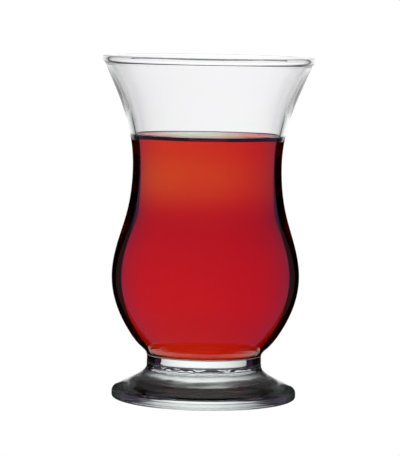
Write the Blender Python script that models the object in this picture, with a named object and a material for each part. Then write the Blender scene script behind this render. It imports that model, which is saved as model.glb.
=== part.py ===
"""A footed, waisted tea glass and the tea in it.

Both pieces are bodies of revolution about the +Z axis. The origin is the centre of the
foot's underside, where the glass stands. Lengths are in metres.

The glass is one pressed piece: a disc foot that is barely hollow underneath, a short solid
neck, a round bulb, a waist and a flared mouth with a bead round its rim. Its outer wall is
one smooth curve through a few named heights and radii. The inner wall follows it at the wall
thickness, which is less just under the bead, and closes in a flat floor above the neck. The
tea fills the inside up to its level, a hair's breadth clear of the glass.
"""

import math

import bmesh
import bpy
import numpy as np
from mathutils import Vector

MM = 0.001

# Driving sizes of the glass
HEIGHT = 96.35 * MM
MOUTH_SLOPE = 0.40
WALL = 1.7 * MM

# The bead round the rim, and the wall that gets thinner toward it
RIM_RADIUS = 30.0 * MM
BEAD_RADIUS = 0.94 * MM
BEAD_START = math.radians(-30.0)
BEAD_END = math.radians(210.0)
BEAD_FOOT = 93.7 * MM
BEAD_BLEND = 0.3 * MM
RIM_WALL = 0.95 * MM
THIN_FROM = 78.0 * MM
THIN_TO = 94.0 * MM

FOOT_RADIUS = 26.0 * MM
EDGE_FOOT = 0.8 * MM
EDGE_ROUND = 1.62 * MM
FOOT_TOP_ANGLE = math.radians(65.0)
FOOT_TOP_REACH = 4.2 * MM
FOOT_TOP_DROP = 2.4 * MM
RECESS_RADIUS = 20.0 * MM
RECESS_DEPTH = 0.25 * MM
RECESS_FLATNESS = 0.6

NECK_RADIUS = 16.2 * MM
NECK_BASE = 9.2 * MM
NECK_TOP = 12.0 * MM

# The outer wall above the neck, as heights and radii
SHOULDER = (14.5 * MM, 18.1 * MM)
LOW_BULB = (18.5 * MM, 21.25 * MM)
MID_BULB = (26.0 * MM, 24.95 * MM)
BULB = (34.5 * MM, 26.42 * MM)
HIGH_BULB = (43.0 * MM, 25.12 * MM)
LOW_WAIST = (52.0 * MM, 22.5 * MM)
WAIST = (62.0 * MM, 21.05 * MM)
HIGH_WAIST = (71.0 * MM, 21.3 * MM)
FLARE = (80.0 * MM, 23.36 * MM)
MOUTH = (96.0 * MM, 29.85 * MM)

# The floor inside, below the height where the even wall ends
WALL_END = 15.0 * MM
FLOOR_HEIGHT = 12.5 * MM
FLOOR_FLAT = 14.6 * MM
FLOOR_CORNER = 1.2 * MM
FLOOR_TURN = 2.4 * MM

# The tea
TEA_LEVEL = 73.3 * MM
CLEARANCE = 0.3 * MM

# Facets
SEGMENTS = 64
WALL_STEPS = 21
TEA_WALL_STEPS = 16
FLOOR_STEPS = 7
FOOT_TOP_STEPS = 5
EDGE_FOOT_STEPS = 3
EDGE_STEPS = 3
BEAD_STEPS = 8
BLEND_STEPS = 2
RECESS_STEPS = 3
SMOOTH_ANGLE = math.radians(40.0)
MERGE_DISTANCE = 0.001 * MM

# Rounds of correction that settle a height to well under a micrometre
REFINEMENTS = 12


def spline_slopes(xs, ys, first, last):
    """Return the slopes that make a piecewise cubic through the points bend evenly."""
    count = len(xs)
    system = np.zeros((count, count))
    target = np.zeros(count)
    system[0, 0] = 1.0
    system[-1, -1] = 1.0
    target[0] = first
    target[-1] = last
    for i in range(1, count - 1):
        before = xs[i] - xs[i - 1]
        after = xs[i + 1] - xs[i]
        system[i, i - 1] = after
        system[i, i] = 2.0 * (before + after)
        system[i, i + 1] = before
        rise_before = (ys[i] - ys[i - 1]) / before
        rise_after = (ys[i + 1] - ys[i]) / after
        target[i] = 3.0 * (after * rise_before + before * rise_after)
    return np.linalg.solve(system, target)


OUTER_STATIONS = (
    (NECK_TOP, NECK_RADIUS), SHOULDER, LOW_BULB, MID_BULB, BULB, HIGH_BULB, LOW_WAIST, WAIST, HIGH_WAIST,
    FLARE, MOUTH,
)
STATION_HEIGHTS = np.array([height for height, radius in OUTER_STATIONS])
STATION_RADII = np.array([radius for height, radius in OUTER_STATIONS])
STATION_SLOPES = spline_slopes(STATION_HEIGHTS, STATION_RADII, 0.0, MOUTH_SLOPE)


def outer_wall(height):
    """Return the outer wall's point (radius, height) and its direction upward, as vectors."""
    last = len(STATION_HEIGHTS) - 2
    i = min(int(np.searchsorted(STATION_HEIGHTS, height, side="right")) - 1, last)
    span = STATION_HEIGHTS[i + 1] - STATION_HEIGHTS[i]
    t = (height - STATION_HEIGHTS[i]) / span
    low, high = STATION_RADII[i], STATION_RADII[i + 1]
    low_slope, high_slope = STATION_SLOPES[i] * span, STATION_SLOPES[i + 1] * span
    bend = 2.0 * (low - high) + low_slope + high_slope
    lean = 3.0 * (high - low) - 2.0 * low_slope - high_slope
    radius = low + t * (low_slope + t * (lean + t * bend))
    slope = (low_slope + t * (2.0 * lean + 3.0 * t * bend)) / span
    return Vector((radius, height)), Vector((slope, 1.0)).normalized()


def inward(direction):
    """Return the direction a quarter turn from an upward one, toward the axis."""
    return Vector((-direction.y, direction.x))


def bezier(start, start_handle, end_handle, end, steps):
    """Return points along a cubic Bezier curve, both ends included."""
    points = []
    for i in range(steps + 1):
        t = i / steps
        s = 1.0 - t
        points.append(s**3 * start + 3 * s * s * t * start_handle + 3 * s * t * t * end_handle + t**3 * end)
    return points


def arc(centre, radius, start, end, steps):
    """Return points along an arc in the (radius, height) plane, both ends included."""
    points = []
    for i in range(steps + 1):
        angle = start + (end - start) * i / steps
        points.append(centre + radius * Vector((math.cos(angle), math.sin(angle))))
    return points


def recess():
    """Return the underside's recess, from the axis out to the flat ring it stands on."""
    middle = Vector((0.0, RECESS_DEPTH))
    level = Vector((RECESS_RADIUS * RECESS_FLATNESS, RECESS_DEPTH))
    edge = Vector((RECESS_RADIUS, 0.0))
    lean = Vector((RECESS_RADIUS - RECESS_DEPTH, RECESS_DEPTH * RECESS_FLATNESS))
    return bezier(middle, level, lean, edge, RECESS_STEPS)


def foot():
    """Return the foot's rounded edge and its sloping top, up to the neck."""
    low = Vector((FOOT_RADIUS - EDGE_FOOT, EDGE_FOOT))
    high = Vector((FOOT_RADIUS - EDGE_ROUND, EDGE_ROUND))
    edge = arc(low, EDGE_FOOT, -math.pi / 2.0, 0.0, EDGE_FOOT_STEPS)
    edge += arc(high, EDGE_ROUND, 0.0, FOOT_TOP_ANGLE, EDGE_STEPS)
    along = Vector((-math.sin(FOOT_TOP_ANGLE), math.cos(FOOT_TOP_ANGLE)))
    neck = Vector((NECK_RADIUS, NECK_BASE))
    drop = Vector((0.0, FOOT_TOP_DROP))
    top = bezier(edge[-1], edge[-1] + FOOT_TOP_REACH * along, neck - drop, neck, FOOT_TOP_STEPS)
    return edge + top[1:]


def wall_heights(start, end, steps):
    """Return heights spread evenly from start to end, both included."""
    return [start + (end - start) * i / steps for i in range(steps + 1)]


def inner_wall(height, clearance):
    """Return the inner wall's point behind a height on the outer one, or one so far inside it."""
    share = min(max((height - THIN_FROM) / (THIN_TO - THIN_FROM), 0.0), 1.0)
    thickness = WALL + (RIM_WALL - WALL) * share * share * (3.0 - 2.0 * share)
    point, direction = outer_wall(height)
    return point + (thickness + clearance) * inward(direction)


def rim():
    """Return the bead round the rim, from the outer wall under it to the inner wall."""
    centre = Vector((RIM_RADIUS - BEAD_RADIUS, HEIGHT - BEAD_RADIUS))
    bead = arc(centre, BEAD_RADIUS, BEAD_START, BEAD_END, BEAD_STEPS)
    outer, direction = outer_wall(BEAD_FOOT)
    inner = inner_wall(BEAD_FOOT, 0.0)
    rise = BEAD_BLEND * direction
    before = BEAD_BLEND * inward((bead[0] - centre).normalized())
    after = BEAD_BLEND * inward((bead[-1] - centre).normalized())
    up = bezier(outer, outer + rise, bead[0] - before, bead[0], BLEND_STEPS)
    down = bezier(bead[-1], bead[-1] + after, inner + rise, inner, BLEND_STEPS)
    return up + bead[1:-1] + down


def cavity_floor(clearance):
    """Return the floor from the axis out to the even wall, or one so far inside it."""
    edge = inner_wall(WALL_END, clearance)
    direction = outer_wall(WALL_END)[1]
    centre = Vector((0.0, FLOOR_HEIGHT + clearance))
    flat = Vector((FLOOR_FLAT - clearance, FLOOR_HEIGHT + clearance))
    across = flat + Vector((FLOOR_CORNER, 0.0))
    return [centre] + bezier(flat, across, edge - FLOOR_TURN * direction, edge, FLOOR_STEPS)


def glass_outline():
    """Return the glass's half section, from the underside's centre round to the inside floor."""
    outside = [outer_wall(height)[0] for height in wall_heights(NECK_TOP, BEAD_FOOT, WALL_STEPS)]
    inside = [inner_wall(height, 0.0) for height in wall_heights(WALL_END, BEAD_FOOT, WALL_STEPS)]
    floor = cavity_floor(0.0)
    return recess() + foot() + outside[:-1] + rim() + inside[-2::-1] + floor[-2::-1]


def tea_outline():
    """Return the tea's half section, from the floor's centre up the wall and in to the axis."""
    floor = cavity_floor(CLEARANCE)
    top = TEA_LEVEL
    for _ in range(REFINEMENTS):
        top -= inner_wall(top, CLEARANCE).y - TEA_LEVEL
    wall = [inner_wall(height, CLEARANCE) for height in wall_heights(WALL_END, top, TEA_WALL_STEPS)]
    return floor + wall[1:] + [Vector((0.0, TEA_LEVEL))]


def revolve(name, outline):
    """Spin a half section, given from the lower axis point to the upper one, into a solid."""
    mesh = bpy.data.meshes.new(name)
    form = bmesh.new()
    vertices = [form.verts.new((max(point.x, 0.0), 0.0, point.y)) for point in outline]
    edges = [form.edges.new(pair) for pair in zip(vertices, vertices[1:])]
    bmesh.ops.spin(
        form, geom=vertices + edges, cent=(0, 0, 0), axis=(0, 0, 1), angle=math.tau, steps=SEGMENTS,
        use_merge=True, use_normal_flip=False,
    )
    bmesh.ops.remove_doubles(form, verts=form.verts, dist=MERGE_DISTANCE)
    bmesh.ops.recalc_face_normals(form, faces=form.faces)
    form.to_mesh(mesh)
    form.free()
    solid = bpy.data.objects.new(name, mesh)
    bpy.context.collection.objects.link(solid)
    mesh.shade_smooth()
    mesh.set_sharp_from_angle(angle=SMOOTH_ANGLE)
    return solid


def finish(name, colour, roughness, transmission, ior):
    """Return a Principled material without any metal in it."""
    material = bpy.data.materials.new(name)
    material.use_nodes = True
    shader = material.node_tree.nodes["Principled BSDF"]
    shader.inputs["Base Color"].default_value = (*colour, 1.0)
    shader.inputs["Metallic"].default_value = 0.0
    shader.inputs["Roughness"].default_value = roughness
    shader.inputs["Transmission Weight"].default_value = transmission
    shader.inputs["IOR"].default_value = ior
    return material


def make_glass():
    """Make the glass, one solid from its foot to its rim."""
    glass = revolve("glass", glass_outline())
    glass.data.materials.append(finish("clear_glass", (0.95, 0.97, 0.96), 0.02, 1.0, 1.52))


def make_tea():
    """Make the tea up to its level."""
    tea = revolve("tea", tea_outline())
    tea.data.materials.append(finish("black_tea", (0.55, 0.03, 0.01), 0.02, 0.6, 1.33))


def clear_scene():
    """Remove every object that the file opened with."""
    for thing in list(bpy.data.objects):
        bpy.data.objects.remove(thing, do_unlink=True)


def main():
    """Make the glass and the tea in an empty scene."""
    clear_scene()
    make_glass()
    make_tea()


main()
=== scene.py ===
"""The looks of a footed tea glass and the tea in it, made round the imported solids.

The glass and the tea are turned forms: Geometry Nodes carry the points of a half section
round the axis. The tea reaches a hair into the wall of the glass, so that light goes straight
from one to the other, and creeps up the wall in a small meniscus. The set is the one that
clear drinks are photographed in: a bright panel behind the glass, which fades toward its edges,
and a dark card on either side, which draws the dark edges of the glass.
"""

import logging
import math
from collections.abc import Mapping, Sequence
from dataclasses import dataclass, field
from enum import Enum

import bmesh
import bpy
import numpy as np
from mathutils import Matrix, Vector


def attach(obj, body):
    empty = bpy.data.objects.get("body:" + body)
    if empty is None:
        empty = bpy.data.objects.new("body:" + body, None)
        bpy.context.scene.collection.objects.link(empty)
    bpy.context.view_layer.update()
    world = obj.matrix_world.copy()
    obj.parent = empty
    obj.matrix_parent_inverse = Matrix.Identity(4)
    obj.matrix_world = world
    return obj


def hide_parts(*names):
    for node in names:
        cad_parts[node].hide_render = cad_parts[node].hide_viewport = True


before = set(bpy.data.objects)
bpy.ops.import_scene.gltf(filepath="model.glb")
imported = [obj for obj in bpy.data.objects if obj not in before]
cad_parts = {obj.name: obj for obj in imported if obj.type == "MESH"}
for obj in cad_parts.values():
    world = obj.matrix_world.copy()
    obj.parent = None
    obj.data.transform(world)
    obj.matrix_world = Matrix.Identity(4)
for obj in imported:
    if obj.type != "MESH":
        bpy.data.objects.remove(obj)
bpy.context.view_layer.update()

LOG = logging.getLogger("tea_glass")

MM = 0.001
PHOTO_SIZE = (400, 456)
SENSOR_MM = 36.0
WHITE = (1.0, 1.0, 1.0, 1.0)

# What the ramps run over: heights and distances in millimetres, and the upward part of a normal.
FOOT_SPAN = (0.0, 20.0)
TEA_SPAN = (0.0, 80.0)
SIDE_SPAN = (0.0, 30.0)
FACING_SPAN = (-1.0, 1.0)

Colour = tuple[float, float, float, float]
Point = tuple[float, float, float]
Station = tuple[float, float]
Stops = tuple[tuple[float, float], ...]
Feed = bpy.types.NodeSocket | float | Sequence[float]


class Slot(Enum):
    """The record's material slots."""

    GLASS = "clear_glass"
    TEA = "black_tea"


class Body(Enum):
    """The bodies that pieces ride on."""

    ROOT = "root"


def blend(
    start: Vector, start_handle: Vector, end_handle: Vector, end: Vector, steps: int,
) -> list[Vector]:
    """Walk along a cubic curve that a handle pulls at either end.

    Args:
        start: The first point.
        start_handle: The handle that the curve leaves the first point towards.
        end_handle: The handle that the curve comes to the last point from.
        end: The last point.
        steps: How many stretches the curve is walked in.

    Returns:
        The points, both ends included.
    """
    points = []
    for i in range(steps + 1):
        t = i / steps
        s = 1.0 - t
        near = s**3 * start + 3 * s * s * t * start_handle
        points.append(near + 3 * s * t * t * end_handle + t**3 * end)
    return points


def arc(centre: Vector, radius: float, start: float, end: float, steps: int) -> list[Vector]:
    """Walk along an arc in the plane of the half section.

    Args:
        centre: The arc's centre, as radius and height.
        radius: The arc's own radius.
        start: The first angle, from the outward direction.
        end: The last angle.
        steps: How many stretches the arc is walked in.

    Returns:
        The points, both ends included.
    """
    points = []
    for i in range(steps + 1):
        angle = start + (end - start) * i / steps
        points.append(centre + radius * Vector((math.cos(angle), math.sin(angle))))
    return points


def inward(direction: Vector) -> Vector:
    """Turn an upward direction of the half section a quarter turn toward the axis."""
    return Vector((-direction.y, direction.x))


def feed(node: bpy.types.Node, inputs: Mapping[str | int, Feed]) -> None:
    """Feed a node's inputs.

    Args:
        node: The node.
        inputs: Another node's socket or a plain value, for the name or the place of each input.
    """
    for key, given in inputs.items():
        if isinstance(given, bpy.types.NodeSocket):
            node.id_data.links.new(given, node.inputs[key])
        else:
            node.inputs[key].default_value = given


def add(tree: bpy.types.NodeTree, kind: str, inputs: Mapping[str | int, Feed]) -> bpy.types.Node:
    """Add a node to a tree.

    Args:
        tree: The tree.
        kind: The node's type.
        inputs: Another node's socket or a plain value, for each input that gets one.

    Returns:
        The node.
    """
    node = tree.nodes.new(kind)
    feed(node, inputs)
    return node


def maths(tree: bpy.types.NodeTree, operation: str, *values: Feed) -> bpy.types.NodeSocket:
    """Add a maths node to a tree.

    Args:
        tree: The tree.
        operation: The node's operation.
        values: The sockets and numbers that it works on, in order.

    Returns:
        The node's result.
    """
    node = tree.nodes.new("ShaderNodeMath")
    node.operation = operation
    feed(node, dict(enumerate(values)))
    return node.outputs["Value"]


def noise(
    tree: bpy.types.NodeTree, place: bpy.types.NodeSocket, scale: float, detail: float = 2.0,
) -> bpy.types.NodeSocket:
    """Add a noise texture to a material's tree.

    Args:
        tree: The tree.
        place: The place on the piece.
        scale: How fine the noise is.
        detail: How many finer layers lie over it.

    Returns:
        The noise's value.
    """
    node = add(tree, "ShaderNodeTexNoise", {"Vector": place, "Scale": scale, "Detail": detail})
    return node.outputs["Fac"]


def bump(
    tree: bpy.types.NodeTree, height: bpy.types.NodeSocket, strength: float, distance: float,
    under: bpy.types.NodeSocket | None = None,
) -> bpy.types.NodeSocket:
    """Add a bump to a material's tree.

    Args:
        tree: The tree.
        height: The bump's height, as a share of its distance.
        strength: How much of the bump shows.
        distance: Its height where the share is one.
        under: The normal of the bump that this one lies over, if there is one.

    Returns:
        The bumped surface's normal.
    """
    node = add(tree, "ShaderNodeBump", {"Height": height, "Strength": strength, "Distance": distance})
    if under is not None:
        feed(node, {"Normal": under})
    return node.outputs["Normal"]


def ramp(
    tree: bpy.types.NodeTree, given: bpy.types.NodeSocket, stops: Stops, span: tuple[float, float],
) -> bpy.types.NodeSocket:
    """Add a ramp over a socket's value to a material's tree.

    Args:
        tree: The tree.
        given: The socket.
        stops: The ramp's places, and its value at each.
        span: The places where the ramp starts and ends.

    Returns:
        The ramp's value.
    """
    low, high = span
    share = add(tree, "ShaderNodeMapRange", {"Value": given, "From Min": low, "From Max": high})
    node = add(tree, "ShaderNodeValToRGB", {"Fac": share.outputs["Result"]})
    while len(node.color_ramp.elements) < len(stops):
        node.color_ramp.elements.new(1.0)
    for element, (place, value) in zip(node.color_ramp.elements, stops):
        element.position = (place - low) / (high - low)
        element.color = (value, value, value, 1.0)
    return node.outputs["Color"]


def new_material(name: str) -> bpy.types.Material:
    """Make a material that starts from the usual shader.

    Args:
        name: The material's name.

    Returns:
        The material.
    """
    material = bpy.data.materials.new(name)
    material.use_nodes = True
    return material


@dataclass
class OuterWall:
    """The smooth curve of the outer wall, from the neck to the mouth.

    The curve is a piecewise cubic with an even bend through a few heights and radii.
    """

    neck_top: Station = (12.0 * MM, 16.2 * MM)
    shoulder: Station = (14.5 * MM, 18.1 * MM)
    low_bulb: Station = (18.5 * MM, 21.25 * MM)
    mid_bulb: Station = (26.0 * MM, 24.95 * MM)
    bulb: Station = (34.5 * MM, 26.42 * MM)
    high_bulb: Station = (43.0 * MM, 25.12 * MM)
    low_waist: Station = (52.0 * MM, 22.5 * MM)
    waist: Station = (62.0 * MM, 21.05 * MM)
    high_waist: Station = (71.0 * MM, 21.3 * MM)
    flare: Station = (80.0 * MM, 23.36 * MM)
    mouth: Station = (96.0 * MM, 29.85 * MM)
    mouth_slope: float = 0.40

    def __post_init__(self) -> None:
        """Work out the slope at each station."""
        stations = (
            self.neck_top, self.shoulder, self.low_bulb, self.mid_bulb, self.bulb, self.high_bulb,
            self.low_waist, self.waist, self.high_waist, self.flare, self.mouth,
        )
        self.heights = np.array([height for height, _ in stations])
        self.radii = np.array([radius for _, radius in stations])
        self.slopes = self._even_slopes()

    def _even_slopes(self) -> np.ndarray:
        """Solve for the slopes that keep the bend even across each station.

        Returns:
            The wall's slope, as radius over height, at each station.
        """
        count = len(self.heights)
        system = np.zeros((count, count))
        target = np.zeros(count)
        system[0, 0] = 1.0
        system[-1, -1] = 1.0
        target[-1] = self.mouth_slope
        spans = np.diff(self.heights)
        rises = np.diff(self.radii) / spans
        for i in range(1, count - 1):
            system[i, i - 1] = spans[i]
            system[i, i] = 2.0 * (spans[i - 1] + spans[i])
            system[i, i + 1] = spans[i - 1]
            target[i] = 3.0 * (spans[i] * rises[i - 1] + spans[i - 1] * rises[i])
        return np.linalg.solve(system, target)

    def at(self, height: float) -> tuple[Vector, Vector]:
        """Find the wall at a height.

        Args:
            height: The height above the foot's underside.

        Returns:
            The point as radius and height, and the wall's direction upward.
        """
        last = len(self.heights) - 2
        i = min(int(np.searchsorted(self.heights, height, side="right")) - 1, last)
        span = self.heights[i + 1] - self.heights[i]
        t = (height - self.heights[i]) / span
        low, high = self.radii[i], self.radii[i + 1]
        low_slope, high_slope = self.slopes[i] * span, self.slopes[i + 1] * span
        bend = 2.0 * (low - high) + low_slope + high_slope
        lean = 3.0 * (high - low) - 2.0 * low_slope - high_slope
        radius = low + t * (low_slope + t * (lean + t * bend))
        slope = (low_slope + t * (2.0 * lean + 3.0 * t * bend)) / span
        return Vector((radius, height)), Vector((slope, 1.0)).normalized()

    def behind(self, height: float, depth: float) -> Vector:
        """Find the point at a depth behind the wall's point at a height."""
        point, direction = self.at(height)
        return point + depth * inward(direction)

    def run(self, low: float, high: float, steps: int) -> list[Vector]:
        """Walk up the wall from one height to another, both ends included."""
        return [self.at(low + (high - low) * i / steps)[0] for i in range(steps + 1)]


@dataclass
class Cavity:
    """The hollow inside the glass.

    Its wall is even and grows thinner toward the rim. Its floor is flat, with a rounded corner.
    """

    outer: OuterWall
    wall: float = 1.7 * MM
    rim_wall: float = 0.95 * MM
    thin_from: float = 78.0 * MM
    thin_to: float = 94.0 * MM
    wall_end: float = 15.0 * MM
    floor_height: float = 12.5 * MM
    floor_flat: float = 14.6 * MM
    floor_corner: float = 1.2 * MM
    floor_turn: float = 2.4 * MM
    floor_rings: int = 4

    def inside(self, height: float, reach: float) -> Vector:
        """Find the hollow's wall behind a height on the outer wall.

        Args:
            height: The height on the outer wall.
            reach: How far into the glass the point lies, instead of on its surface.

        Returns:
            The point as radius and height.
        """
        share = min(max((height - self.thin_from) / (self.thin_to - self.thin_from), 0.0), 1.0)
        thinned = share * share * (3.0 - 2.0 * share)
        return self.outer.behind(height, self.wall + (self.rim_wall - self.wall) * thinned - reach)

    def run(self, low: float, high: float, reach: float, steps: int) -> list[Vector]:
        """Walk up the hollow's wall between two heights on the outer wall, both ends included."""
        return [self.inside(low + (high - low) * i / steps, reach) for i in range(steps + 1)]

    def floor(self, reach: float, steps: int) -> list[Vector]:
        """Walk along the floor, from the axis out over its corner to where the even wall starts.

        Args:
            reach: How far into the glass the walk runs, instead of along its surface.
            steps: How many stretches it is walked in.

        Returns:
            The points, both ends included.
        """
        point, direction = self.outer.at(self.wall_end)
        edge = point + (self.wall - reach) * inward(direction)
        height = self.floor_height - reach
        flat = Vector((self.floor_flat + reach, height))
        across = Vector((self.floor_corner, 0.0))
        corner = blend(flat, flat + across, edge - self.floor_turn * direction, edge, steps)
        level = []
        for i in range(self.floor_rings):
            share = i / self.floor_rings
            level.append(flat * share + Vector((0.0, height * (1.0 - share))))
        return level + corner


class Turning:
    """Geometry Nodes that carry a half section's points round the axis."""

    NAME = "turn_half_section"
    WELD = 0.001 * MM
    SLIVER = 0.0001 * MM

    def __init__(self) -> None:
        """Build the tree once for every turned form."""
        self.tree = bpy.data.node_groups.new(self.NAME, "GeometryNodeTree")
        self.tree.is_modifier = True
        face = self.tree.interface
        face.new_socket("Section", in_out="INPUT", socket_type="NodeSocketGeometry")
        sides = face.new_socket("Sides", in_out="INPUT", socket_type="NodeSocketInt")
        finish = face.new_socket("Finish", in_out="INPUT", socket_type="NodeSocketMaterial")
        face.new_socket("Form", in_out="OUTPUT", socket_type="NodeSocketGeometry")
        self.sides_id = sides.identifier
        self.finish_id = finish.identifier
        self._wire()

    def _wire(self) -> None:
        """Lay out a grid whose rows are the section's points and whose columns go round the axis."""
        tree = self.tree
        given = tree.nodes.new("NodeGroupInput").outputs
        columns = maths(tree, "ADD", given["Sides"], 1.0)
        count = add(tree, "GeometryNodeAttributeDomainSize", {"Geometry": given["Section"]})
        rows = count.outputs["Point Count"]
        grid = add(tree, "GeometryNodeMeshGrid", {"Vertices X": rows, "Vertices Y": columns})

        # Half a point more keeps the rows and the columns clear of rounding.
        index = tree.nodes.new("GeometryNodeInputIndex")
        middle = maths(tree, "ADD", index.outputs["Index"], 0.5)
        row = maths(tree, "FLOOR", maths(tree, "DIVIDE", middle, columns))
        column = maths(tree, "FLOOR", maths(tree, "MODULO", middle, columns))
        angle = maths(tree, "MULTIPLY", maths(tree, "DIVIDE", column, given["Sides"]), math.tau)

        place = tree.nodes.new("GeometryNodeInputPosition")
        pick = tree.nodes.new("GeometryNodeSampleIndex")
        pick.data_type = "FLOAT_VECTOR"
        feed(pick, {"Geometry": given["Section"], "Value": place.outputs["Position"], "Index": row})
        turn = tree.nodes.new("ShaderNodeVectorRotate")
        turn.rotation_type = "Z_AXIS"
        feed(turn, {"Vector": pick.outputs["Value"], "Angle": angle})

        form = grid.outputs["Mesh"]
        for kind, inputs in (
            ("GeometryNodeSetPosition", {"Position": turn.outputs["Vector"]}),
            ("GeometryNodeMergeByDistance", {"Distance": self.WELD}),
            ("GeometryNodeSetShadeSmooth", {}),
            ("GeometryNodeRealizeInstances", {}),
            ("GeometryNodeSetMaterial", {"Material": given["Finish"]}),
        ):
            form = add(tree, kind, {"Geometry": form, **inputs}).outputs["Geometry"]
        add(tree, "NodeGroupOutput", {"Form": form})

    def make(
        self, name: str, outline: Sequence[Vector], sides: int, finish: bpy.types.Material,
    ) -> bpy.types.Object:
        """Turn a half section into a closed form.

        Args:
            name: The finished piece's name.
            outline: The half section's points as radius and height, from axis to axis.
            sides: How many sides the form has round the axis.
            finish: The form's material.

        Returns:
            The piece, a plain mesh at the origin.
        """
        section = bpy.data.meshes.new(f"{name}_section")
        edges = [(i, i + 1) for i in range(len(outline) - 1)]
        section.from_pydata([(max(point.x, 0.0), 0.0, point.y) for point in outline], edges, [])
        blank = bpy.data.objects.new(f"{name}_blank", section)
        bpy.context.collection.objects.link(blank)
        turning = blank.modifiers.new("turning", "NODES")
        turning.node_group = self.tree
        turning[self.sides_id] = sides
        turning[self.finish_id] = finish
        graph = bpy.context.evaluated_depsgraph_get()
        mesh = bpy.data.meshes.new_from_object(blank.evaluated_get(graph), depsgraph=graph)
        blank.modifiers.remove(turning)
        bpy.data.objects.remove(blank, do_unlink=True)
        self._close(mesh)
        mesh.name = name
        piece = bpy.data.objects.new(name, mesh)
        bpy.context.collection.objects.link(piece)
        return piece

    def _close(self, mesh: bpy.types.Mesh) -> None:
        """Weld the seam and the poles of a turned mesh and point its faces outward.

        Args:
            mesh: The turned mesh.
        """
        form = bmesh.new()
        form.from_mesh(mesh)
        bmesh.ops.remove_doubles(form, verts=form.verts, dist=self.WELD)
        bmesh.ops.dissolve_degenerate(form, edges=form.edges, dist=self.SLIVER)
        bmesh.ops.recalc_face_normals(form, faces=form.faces)
        form.to_mesh(mesh)
        form.free()
        mesh.shade_smooth()


@dataclass(frozen=True)
class ClearFinish:
    """What the clear materials have in common: they bend light, and colour it by their depth."""

    name: str
    index: float
    depth_colour: Colour
    depth_density: float

    def build(self) -> bpy.types.Material:
        """Make the material's nodes.

        Returns:
            The material.
        """
        material = new_material(self.name)
        tree = material.node_tree
        shader = tree.nodes["Principled BSDF"]
        shader.inputs["IOR"].default_value = self.index
        shader.inputs["Transmission Weight"].default_value = 1.0
        depth = tree.nodes.new("ShaderNodeVolumeAbsorption")
        depth.inputs["Color"].default_value = self.depth_colour
        depth.inputs["Density"].default_value = self.depth_density
        feed(tree.nodes["Material Output"], {"Volume": depth.outputs["Volume"]})
        self.dress(tree, shader)
        return material

    def dress(self, tree: bpy.types.NodeTree, shader: bpy.types.Node) -> None:
        """Leave the surface plain, where a finish has nothing to add to it."""


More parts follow.
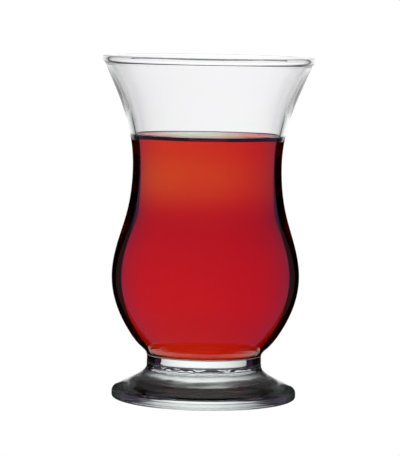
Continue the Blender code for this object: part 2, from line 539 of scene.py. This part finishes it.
@dataclass(frozen=True)
class GlassFinish(ClearFinish):
    """Clear pressed glass: polished, a little wavy, with a breath of grey-green in its depth.

    The places of the marks go by height in millimetres. The neck has small mould marks, and the
    foot's top is a little matt and has fine rings from turning.
    """

    name: str = "pressed_clear_glass"
    index: float = 1.52
    depth_colour: Colour = (0.45, 0.82, 0.66, 1.0)
    depth_density: float = 4.0
    haze_scale: float = 90.0
    least_roughness: float = 0.0
    most_roughness: float = 0.012
    least_tint: tuple[float, float, float] = (0.985, 0.99, 0.985)
    most_tint: tuple[float, float, float] = (1.0, 1.0, 1.0)
    soft_places: Stops = ((3.0, 0.0), (4.0, 0.4), (6.0, 1.0), (8.0, 1.0), (9.2, 0.0))
    soft_roughness: float = 0.28
    wave_scale: float = 55.0
    wave_detail: float = 1.0
    wave_stretch: float = 3.2
    wave_height: float = 0.05 * MM
    wave_strength: float = 0.12
    ring_places: Stops = ((2.2, 0.0), (3.4, 1.0), (6.4, 1.0), (7.6, 0.0))
    ring_scale: float = 90.0
    ring_sway: float = 0.6
    ring_detail: float = 0.0
    ring_height: float = 0.12 * MM
    ring_strength: float = 1.0
    mould_places: Stops = ((5.4, 0.0), (6.6, 1.0), (9.2, 1.0), (10.0, 0.0))
    mould_scale: float = 300.0
    mould_detail: float = 1.0
    mould_height: float = 0.25 * MM
    mould_strength: float = 1.0

    def dress(self, tree: bpy.types.NodeTree, shader: bpy.types.Node) -> None:
        """Lay out the nodes of the surface.

        Args:
            tree: The material's tree.
            shader: Its shader.
        """
        place = tree.nodes.new("ShaderNodeTexCoord").outputs["Object"]
        axes = add(tree, "ShaderNodeSeparateXYZ", {"Vector": place})
        height = maths(tree, "DIVIDE", axes.outputs["Z"], MM)
        haze = noise(tree, place, self.haze_scale)
        feed(shader, {
            "Roughness": self._roughness(tree, haze, height),
            "Base Color": self._tint(tree, haze),
            "Normal": self._relief(tree, place, height),
        })

    def _roughness(
        self, tree: bpy.types.NodeTree, haze: bpy.types.NodeSocket, height: bpy.types.NodeSocket,
    ) -> bpy.types.NodeSocket:
        """Make the surface hazy here and there, and matt on the foot's top.

        Args:
            tree: The material's tree.
            haze: The noise that the haze follows.
            height: The height in millimetres.

        Returns:
            The roughness.
        """
        limits = {"To Min": self.least_roughness, "To Max": self.most_roughness}
        gloss = add(tree, "ShaderNodeMapRange", {"Value": haze, **limits})
        share = ramp(tree, height, self.soft_places, FOOT_SPAN)
        return maths(tree, "MULTIPLY_ADD", share, self.soft_roughness, gloss.outputs["Result"])

    def _tint(self, tree: bpy.types.NodeTree, haze: bpy.types.NodeSocket) -> bpy.types.NodeSocket:
        """Let the clear surface's tint drift a little with the haze.

        Args:
            tree: The material's tree.
            haze: The noise that the haze follows.

        Returns:
            The tint.
        """
        tint = tree.nodes.new("ShaderNodeMapRange")
        tint.data_type = "FLOAT_VECTOR"
        limits = {socket.identifier: socket for socket in tint.inputs}
        limits["To_Min_FLOAT3"].default_value = self.least_tint
        limits["To_Max_FLOAT3"].default_value = self.most_tint
        feed(tint, {"Vector": haze})
        return tint.outputs["Vector"]

    def _relief(
        self, tree: bpy.types.NodeTree, place: bpy.types.NodeSocket, height: bpy.types.NodeSocket,
    ) -> bpy.types.NodeSocket:
        """Lay the slow waves, the turning rings and the mould marks over one another.

        Args:
            tree: The material's tree.
            place: The place on the piece.
            height: The height in millimetres.

        Returns:
            The surface's normal.
        """
        upright = (1.0, 1.0, self.wave_stretch)
        stretch = add(tree, "ShaderNodeMapping", {"Vector": place, "Scale": upright})
        waves = noise(tree, stretch.outputs["Vector"], self.wave_scale, self.wave_detail)
        waved = bump(tree, waves, self.wave_strength, self.wave_height)

        turning = tree.nodes.new("ShaderNodeTexWave")
        turning.wave_type = "RINGS"
        turning.rings_direction = "Z"
        feed(turning, {
            "Vector": place,
            "Scale": self.ring_scale,
            "Distortion": self.ring_sway,
            "Detail": self.ring_detail,
        })
        share = ramp(tree, height, self.ring_places, FOOT_SPAN)
        rings = maths(tree, "MULTIPLY", turning.outputs["Fac"], share)
        ringed = bump(tree, rings, self.ring_strength, self.ring_height, waved)

        share = ramp(tree, height, self.mould_places, FOOT_SPAN)
        marks = maths(tree, "MULTIPLY", noise(tree, place, self.mould_scale, self.mould_detail), share)
        return bump(tree, marks, self.mould_strength, self.mould_height, ringed)


@dataclass(frozen=True)
class TeaFinish(ClearFinish):
    """Strong clear tea: deep red in the bulb, warmer near the top, partly because less of it is in the
    way there and partly by painted light.

    Five ramps paint light and shade over the red that the tea's depth gives. The painted brightness
    and a painted warm glow, which is the share of green and stands for the backdrop's bright middle
    seen through the tea, go by height in millimetres. The glow fades to the sides, by the distance in
    millimetres to a line left of the axis. The last two go by how far the surface faces up: one
    paints shade on the underside and the level top, the other paints a pale reflection on the level
    top by giving it some green back.
    """

    name: str = "brewed_black_tea"
    index: float = 1.333
    depth_colour: Colour = (0.952, 0.64, 0.0, 1.0)
    depth_density: float = 230.0
    # Painted light and shade: how bright the tea's red is at each height.
    light: Stops = (
        (13.0, 1.05), (17.0, 1.02), (22.0, 0.96), (30.0, 1.0), (35.0, 0.98), (40.0, 0.92),
        (46.0, 0.81), (51.0, 0.82), (55.0, 0.92), (59.0, 0.98), (63.0, 1.0),
    )
    # Painted warm glow: the share of green at each height, which paints the backdrop's bright middle
    # seen through the tea, on top of the orange that thinner tea gives by its depth.
    painted_warm_glow: Stops = (
        (12.0, 0.7), (16.0, 0.42), (20.0, 0.27), (25.0, 0.27), (35.0, 0.22), (45.0, 0.15),
        (48.0, 0.10), (52.0, 0.38), (56.0, 0.85), (60.0, 1.14), (64.0, 1.14), (70.0, 0.74),
    )
    # The painted warm glow is strongest along a line left of the axis and fades with the distance from
    # it.
    sides: Stops = ((2.0, 1.0), (6.0, 0.87), (9.5, 0.62), (13.0, 0.36), (17.0, 0.16))
    painted_glow_line: float = -3.5 * MM
    drift_scale: float = 30.0
    drift_detail: float = 1.0
    drift_reach: float = 1.0 * MM
    # Painted shade by the way the surface faces: the underside and the level top are dimmed.
    facing: Stops = ((-0.97, 0.0), (-0.75, 1.0), (0.30, 1.0), (0.75, 0.44))
    # Painted reflection on the level top: green comes back there, which turns its red pale grey.
    painted_top_reflection: Stops = ((0.6, 0.0), (0.9, 1.0))
    most_painted_reflection: float = 1.15
    ripple_scale: float = 60.0
    ripple_height: float = 0.02 * MM
    ripple_strength: float = 0.03
    most_roughness: float = 0.004

    def dress(self, tree: bpy.types.NodeTree, shader: bpy.types.Node) -> None:
        """Lay out the nodes of the surface.

        Args:
            tree: The material's tree.
            shader: Its shader.
        """
        place = tree.nodes.new("ShaderNodeTexCoord").outputs
        ripple = noise(tree, place["Object"], self.ripple_scale)
        gloss = add(tree, "ShaderNodeMapRange", {"Value": ripple, "To Max": self.most_roughness})
        feed(shader, {
            "Base Color": self._tint(tree, place["Object"], place["Normal"]),
            "Roughness": gloss.outputs["Result"],
            "Normal": bump(tree, ripple, self.ripple_strength, self.ripple_height),
        })

    def _tint(
        self, tree: bpy.types.NodeTree, place: bpy.types.NodeSocket, normal: bpy.types.NodeSocket,
    ) -> bpy.types.NodeSocket:
        """Tint the tea with painted light and shade by height, by the distance to the glow's line and
        by the way it faces.

        Args:
            tree: The material's tree.
            place: The place on the piece.
            normal: The way the surface faces there.

        Returns:
            The tint, with the painted light and shade in it.
        """
        axes = add(tree, "ShaderNodeSeparateXYZ", {"Vector": place}).outputs
        drift = noise(tree, place, self.drift_scale, self.drift_detail)
        limits = {"To Min": -self.drift_reach, "To Max": self.drift_reach}
        sway = add(tree, "ShaderNodeMapRange", {"Value": drift, **limits}).outputs["Result"]
        height = maths(tree, "DIVIDE", maths(tree, "ADD", axes["Z"], sway), MM)
        aside = maths(tree, "ABSOLUTE", maths(tree, "SUBTRACT", axes["X"], self.painted_glow_line))
        away = maths(tree, "DIVIDE", aside, MM)
        upward = add(tree, "ShaderNodeSeparateXYZ", {"Vector": normal}).outputs["Z"]

        # Painted light and shade by height, and a painted warm glow that fades to the sides.
        light = ramp(tree, height, self.light, TEA_SPAN)
        sides = ramp(tree, away, self.sides, SIDE_SPAN)
        painted_warm_glow = maths(tree, "MULTIPLY", ramp(tree, height, self.painted_warm_glow, TEA_SPAN), sides)
        # Painted reflection on the level top, and painted shade by the way the surface faces.
        lift = ramp(tree, upward, self.painted_top_reflection, FACING_SPAN)
        red = maths(tree, "MULTIPLY", light, ramp(tree, upward, self.facing, FACING_SPAN))
        green = maths(tree, "MULTIPLY", red, maths(tree, "MULTIPLY_ADD", lift, self.most_painted_reflection, painted_warm_glow))
        tint = add(tree, "ShaderNodeCombineColor", {"Red": red, "Green": green, "Blue": green})
        return tint.outputs["Color"]


@dataclass
class Glass:
    """The pressed glass: foot, neck, bulb, waist and flared mouth in one piece."""

    outer: OuterWall
    cavity: Cavity
    finish: GlassFinish = field(default_factory=GlassFinish)
    height: float = 96.35 * MM
    foot_radius: float = 26.0 * MM
    edge_round: float = 1.62 * MM
    edge_foot: float = 0.8 * MM
    foot_top_angle: float = math.radians(65.0)
    foot_top_reach: float = 4.2 * MM
    foot_top_drop: float = 2.4 * MM
    neck_base: float = 9.2 * MM
    recess_radius: float = 20.0 * MM
    recess_depth: float = 0.25 * MM
    recess_flatness: float = 0.6
    bead_radius: float = 0.94 * MM
    bead_reach: float = 30.0 * MM
    bead_start: float = math.radians(-30.0)
    bead_end: float = math.radians(222.0)
    bead_foot: float = 93.7 * MM
    bead_blend: float = 0.3 * MM
    blend_steps: int = 8
    sides: int = 256
    outer_steps: int = 104
    inner_steps: int = 90
    curve_steps: int = 24

    def recess(self) -> list[Vector]:
        """Walk along the underside's recess, from the axis out to the flat ring.

        Returns:
            The points, both ends included.
        """
        middle = Vector((0.0, self.recess_depth))
        level = Vector((self.recess_radius * self.recess_flatness, self.recess_depth))
        lean_height = self.recess_depth * self.recess_flatness
        lean = Vector((self.recess_radius - self.recess_depth, lean_height))
        edge = Vector((self.recess_radius, 0.0))
        return blend(middle, level, lean, edge, self.curve_steps)

    def foot(self) -> list[Vector]:
        """Walk round the foot's edge and up its sloping top to the neck.

        Returns:
            The points, both ends included.
        """
        low, high = self.edge_foot, self.edge_round
        under_centre = Vector((self.foot_radius - low, low))
        under = arc(under_centre, low, -math.pi / 2.0, 0.0, self.curve_steps)
        over_centre = Vector((self.foot_radius - high, high))
        edge = under + arc(over_centre, high, 0.0, self.foot_top_angle, self.curve_steps)
        along = Vector((-math.sin(self.foot_top_angle), math.cos(self.foot_top_angle)))
        neck = Vector((self.outer.neck_top[1], self.neck_base))
        reach = self.foot_top_reach * along
        drop = Vector((0.0, self.foot_top_drop))
        top = blend(edge[-1], edge[-1] + reach, neck - drop, neck, self.curve_steps)
        return edge + top[1:]

    def rim(self) -> list[Vector]:
        """Walk over the rim's bead, from the outer wall below it to the inner wall.

        Returns:
            The points, both ends included.
        """
        radius, pull = self.bead_radius, self.bead_blend
        centre = Vector((self.bead_reach - radius, self.height - radius))
        bead = arc(centre, radius, self.bead_start, self.bead_end, self.curve_steps)
        outer, up = self.outer.at(self.bead_foot)
        inner = self.cavity.inside(self.bead_foot, 0.0)
        into = pull * inward((bead[0] - centre).normalized())
        out = pull * inward((bead[-1] - centre).normalized())
        rise = blend(outer, outer + pull * up, bead[0] - into, bead[0], self.blend_steps)
        fall = blend(bead[-1], bead[-1] + out, inner + pull * up, inner, self.blend_steps)
        return rise + bead[1:-1] + fall

    def outline(self) -> list[Vector]:
        """Walk round the whole half section, from under the foot to the floor inside.

        Returns:
            The points, from the axis to the axis.
        """
        outside = self.outer.run(self.outer.neck_top[0], self.bead_foot, self.outer_steps)
        inside = self.cavity.run(self.cavity.wall_end, self.bead_foot, 0.0, self.inner_steps)
        floor = self.cavity.floor(0.0, self.curve_steps)
        hollow = inside[-2::-1] + floor[-2::-1]
        return self.recess() + self.foot() + outside[:-1] + self.rim() + hollow

    def build(self, turning: Turning) -> bpy.types.Object:
        """Make the glass in place of its solid.

        Args:
            turning: The tree that turns half sections.

        Returns:
            The piece.
        """
        piece = turning.make("glass_body", self.outline(), self.sides, self.finish.build())
        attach(piece, Body.ROOT.value)
        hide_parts("glass")
        return piece


@dataclass
class Tea:
    """The tea: it fills the hollow to its level and creeps up the wall."""

    cavity: Cavity
    finish: TeaFinish = field(default_factory=TeaFinish)
    level: float = 73.3 * MM
    creep: float = 1.3 * MM
    creep_fall: float = 1.4 * MM
    creep_reach: float = 6.0 * MM
    into_wall: float = 0.1 * MM
    sides: int = 256
    wall_steps: int = 110
    floor_steps: int = 28
    surface_steps: int = 40
    middle_steps: int = 8
    edge_rounds: int = 12

    def surface(self, edge: Vector) -> list[Vector]:
        """Walk along the tea's surface from the wall in to the axis.

        Args:
            edge: The highest point of the tea at the wall.

        Returns:
            The points after that one.
        """
        points = []
        for i in range(1, self.surface_steps + 1):
            share = i / self.surface_steps
            away = self.creep_reach * share
            lift = self.creep * math.exp(-away / self.creep_fall) * (1.0 - share)
            points.append(Vector((edge.x - away, self.level + lift)))
        rest = points[-1].x
        for i in range(1, self.middle_steps + 1):
            points.append(Vector((rest * (1.0 - i / self.middle_steps), self.level)))
        return points

    def outline(self) -> list[Vector]:
        """Walk round the half section, from the floor's middle up the wall and in over the surface.

        The wall is known by heights on the glass's outside, so the one that belongs to the tea's
        edge is found by a few rounds of closing in on it.

        Returns:
            The points, from the axis to the axis.
        """
        top = self.level + self.creep
        height = top
        for _ in range(self.edge_rounds):
            height -= self.cavity.inside(height, self.into_wall).y - top
        floor = self.cavity.floor(self.into_wall, self.floor_steps)
        wall = self.cavity.run(self.cavity.wall_end, height, self.into_wall, self.wall_steps)
        return floor + wall[1:] + self.surface(wall[-1])

    def build(self, turning: Turning) -> bpy.types.Object:
        """Make the tea in place of its solid.

        Args:
            turning: The tree that turns half sections.

        Returns:
            The piece.
        """
        piece = turning.make("tea_fill", self.outline(), self.sides, self.finish.build())
        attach(piece, Body.ROOT.value)
        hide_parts("tea")
        return piece


@dataclass(frozen=True)
class Glow:
    """The even light that a sheet of the set gives off."""

    name: str
    strength: float
    colour: Colour = WHITE

    def build(self) -> bpy.types.Material:
        """Make the material's nodes.

        Returns:
            The material.
        """
        material = new_material(self.name)
        tree = material.node_tree
        tree.nodes.remove(tree.nodes["Principled BSDF"])
        light = add(tree, "ShaderNodeEmission", {"Color": self.colour, "Strength": self.level(tree)})
        feed(tree.nodes["Material Output"], {"Surface": light.outputs["Emission"]})
        return material

    def level(self, tree: bpy.types.NodeTree) -> Feed:
        """Give the light's strength over the sheet, here the same all over."""
        return self.strength


@dataclass(frozen=True)
class FadingGlow(Glow):
    """Light that is strongest near a sheet's middle and fades to both sides."""

    centre: float = 0.0
    spread: float = 1.0

    def level(self, tree: bpy.types.NodeTree) -> Feed:
        """Make the light's strength follow a bell curve across the sheet.

        Args:
            tree: The material's tree.

        Returns:
            The strength.
        """
        place = tree.nodes.new("ShaderNodeTexCoord")
        axes = add(tree, "ShaderNodeSeparateXYZ", {"Vector": place.outputs["Object"]})
        aside = maths(tree, "SUBTRACT", axes.outputs["X"], self.centre)
        away = maths(tree, "DIVIDE", aside, self.spread)
        fall = maths(tree, "MULTIPLY", maths(tree, "POWER", away, 2.0), -0.5)
        return maths(tree, "MULTIPLY", maths(tree, "EXPONENT", fall), self.strength)


@dataclass(frozen=True)
class Matt:
    """Paper or card without a gloss."""

    name: str
    colour: Colour

    def build(self) -> bpy.types.Material:
        """Make the material's nodes.

        Returns:
            The material.
        """
        material = new_material(self.name)
        shader = material.node_tree.nodes["Principled BSDF"]
        feed(shader, {"Base Color": self.colour, "Roughness": 1.0, "Specular IOR Level": 0.0})
        return material


@dataclass
class Set:
    """The floor, the sheets round the glass, the lights and the camera.

    The sheets hang from a turntable on the glass's own axis that faces the camera, so the
    bright backdrop stands behind the glass, and the black cards beside it, from any side. Only
    reflections show the dome and the ceiling, and only the camera sees the plain wall.
    """

    camera_distance: float = 754.7 * MM
    camera_height: float = 114.4 * MM
    look_down: float = math.radians(5.027)
    look_left: float = math.radians(0.1326)
    roll: float = math.radians(1.0)
    focal_pixels: float = 2690.7
    clip_near: float = 0.01
    clip_far: float = 20.0
    backdrop_gap: float = 0.4
    backdrop_half_width: float = 0.294
    backdrop_top: float = 0.6
    backdrop_strength: float = 1.08
    backdrop_centre: float = 0.03
    backdrop_spread: float = 0.245
    wall_gap: float = 1.2
    wall_half: float = 1.5
    wall_strength: float = 1.05
    card_gap: float = 0.031
    card_front: float = 0.0
    card_back: float = 0.062
    card_top: float = 0.070
    card_foot: float = -0.25
    card_colour: Colour = (0.003, 0.003, 0.003, 1.0)
    floor_half: float = 3.0
    floor_strength: float = 1.0
    room_colour: Colour = WHITE
    room_strength: float = 0.04
    ceiling_half: float = 0.35
    ceiling_near: float = -0.05
    ceiling_far: float = 0.62
    ceiling_height: float = 0.55
    ceiling_strength: float = 3.0
    ceiling_colour: Colour = (0.9, 0.97, 1.0, 1.0)
    dome_radius: float = 0.6
    dome_turn: float = math.radians(125.0)
    dome_strength: float = 0.36
    dome_colour: Colour = (0.75, 0.38, 1.0, 1.0)
    dome_rings: int = 12
    dome_columns: int = 32
    clear_bounces: int = 32
    glossy_bounces: int = 16

    def camera(self) -> bpy.types.Object:
        """Place the camera where the photograph was taken from.

        Returns:
            The camera.
        """
        data = bpy.data.cameras.new("photo_camera")
        data.sensor_width = SENSOR_MM
        data.lens = self.focal_pixels * data.sensor_width / max(PHOTO_SIZE)
        data.clip_start = self.clip_near
        data.clip_end = self.clip_far
        camera = bpy.data.objects.new("photo_camera", data)
        bpy.context.collection.objects.link(camera)
        turn = Matrix.Rotation(self.look_left, 4, "Z")
        tilt = Matrix.Rotation(math.pi / 2.0 - self.look_down, 4, "X")
        lean = Matrix.Rotation(self.roll, 4, "Z")
        stand = Matrix.Translation((0.0, -self.camera_distance, self.camera_height))
        camera.matrix_world = stand @ turn @ tilt @ lean
        bpy.context.scene.camera = camera
        return camera

    def turntable(self, camera: bpy.types.Object) -> bpy.types.Object:
        """Make the turntable that keeps its front toward the camera.

        Args:
            camera: The camera.

        Returns:
            The turntable.
        """
        table = bpy.data.objects.new("turntable", None)
        bpy.context.collection.objects.link(table)
        facing = table.constraints.new("LOCKED_TRACK")
        facing.target = camera
        facing.track_axis = "TRACK_NEGATIVE_Y"
        facing.lock_axis = "LOCK_Z"
        return table

    def sheet(
        self, name: str, corners: Sequence[Point], finish: Glow | Matt,
        table: bpy.types.Object | None = None, faces: Sequence[tuple[int, ...]] = ((0, 1, 2, 3),),
    ) -> bpy.types.Object:
        """Make a sheet of the set.

        Args:
            name: The sheet's name.
            corners: Its corners, in order where it is one flat face.
            finish: What it is made of.
            table: The turntable that it stands on, or none for the floor.
            faces: The corners of each of its faces.

        Returns:
            The sheet.
        """
        mesh = bpy.data.meshes.new(name)
        mesh.from_pydata(list(corners), [], list(faces))
        mesh.materials.append(finish.build())
        sheet = bpy.data.objects.new(name, mesh)
        bpy.context.collection.objects.link(sheet)
        sheet.parent = table
        return sheet

    def backdrop(self, table: bpy.types.Object) -> None:
        """Stand the bright backdrop behind the glass, and a plain wall behind that.

        Args:
            table: The turntable.
        """
        w, y, top = self.backdrop_half_width, self.backdrop_gap, self.backdrop_top
        corners = ((-w, y, -top), (w, y, -top), (w, y, top), (-w, y, top))
        glow = FadingGlow(
            "backdrop_glow", self.backdrop_strength,
            centre=self.backdrop_centre, spread=self.backdrop_spread,
        )
        backdrop = self.sheet("backdrop", corners, glow, table)
        backdrop.visible_camera = False
        w, y = self.wall_half, self.wall_gap
        corners = ((-w, y, -w), (w, y, -w), (w, y, w), (-w, y, w))
        wall = self.sheet("plain_wall", corners, Glow("wall_glow", self.wall_strength), table)
        wall.visible_glossy = False
        wall.visible_transmission = False

    def cards(self, table: bpy.types.Object) -> None:
        """Stand a black card on either side of the glass, just outside the picture.

        Args:
            table: The turntable.
        """
        front, back, top, low = self.card_front, self.card_back, self.card_top, self.card_foot
        for name, x in (("left_card", -self.card_gap), ("right_card", self.card_gap)):
            corners = ((x, front, low), (x, back, low), (x, back, top), (x, front, top))
            card = self.sheet(name, corners, Matt("black_card", self.card_colour), table)
            card.visible_camera = False
            card.visible_diffuse = False
            card.visible_shadow = False

    def dome(self, table: bpy.types.Object) -> None:
        """Close a dim dome round the glass's front, whose faint reflection lies over it.

        Args:
            table: The turntable.
        """
        rings, columns = self.dome_rings, self.dome_columns
        points, faces = [], []
        for i in range(rings + 1):
            lift = math.pi * (i / rings - 0.5)
            flat, height = self.dome_radius * math.cos(lift), self.dome_radius * math.sin(lift)
            for j in range(columns + 1):
                turn = self.dome_turn * (2.0 * j / columns - 1.0)
                points.append((flat * math.sin(turn), -flat * math.cos(turn), height))
        for i in range(rings):
            for j in range(columns):
                k = i * (columns + 1) + j
                faces.append((k, k + 1, k + columns + 2, k + columns + 1))
        glow = Glow("dome_glow", self.dome_strength, self.dome_colour)
        dome = self.sheet("dome", points, glow, table, faces)
        dome.visible_camera = False
        dome.visible_transmission = False
        dome.visible_diffuse = False

    def ceiling(self, table: bpy.types.Object) -> None:
        """Hang a soft light high over the glass, whose reflection lies on the foot's top.

        Args:
            table: The turntable.
        """
        w, z = self.ceiling_half, self.ceiling_height
        near, far = self.ceiling_near, self.ceiling_far
        corners = ((-w, near, z), (-w, far, z), (w, far, z), (w, near, z))
        glow = Glow("ceiling_glow", self.ceiling_strength, self.ceiling_colour)
        ceiling = self.sheet("ceiling", corners, glow, table)
        ceiling.visible_camera = False
        ceiling.visible_transmission = False

    def floor(self) -> None:
        """Lay the pale floor."""
        h = self.floor_half
        corners = ((-h, -h, 0.0), (h, -h, 0.0), (h, h, 0.0), (-h, h, 0.0))
        floor = self.sheet("floor", corners, Glow("floor_glow", self.floor_strength))
        floor.visible_glossy = False
        floor.visible_transmission = False

    def room(self) -> None:
        """Leave the rest of the room nearly dark."""
        world = bpy.data.worlds.new("dark_room")
        bpy.context.scene.world = world
        world.use_nodes = True
        background = world.node_tree.nodes["Background"]
        feed(background, {"Color": self.room_colour, "Strength": self.room_strength})

    def build(self) -> None:
        """Make the set."""
        camera = self.camera()
        table = self.turntable(camera)
        self.backdrop(table)
        self.cards(table)
        self.dome(table)
        self.ceiling(table)
        self.floor()
        self.room()
        scene = bpy.context.scene
        scene.view_settings.view_transform = "Standard"
        scene.cycles.max_bounces = self.clear_bounces
        scene.cycles.transmission_bounces = self.clear_bounces
        scene.cycles.glossy_bounces = self.glossy_bounces


def main() -> None:
    """Make the set and the two pieces."""
    logging.basicConfig(level=logging.INFO, format="%(name)s: %(message)s")
    Set().build()
    outer = OuterWall()
    cavity = Cavity(outer)
    turning = Turning()
    for maker in (Glass(outer, cavity), Tea(cavity)):
        piece = maker.build(turning)
        LOG.info("%s: %d faces", piece.name, len(piece.data.polygons))


if __name__ == "__main__":
    main()
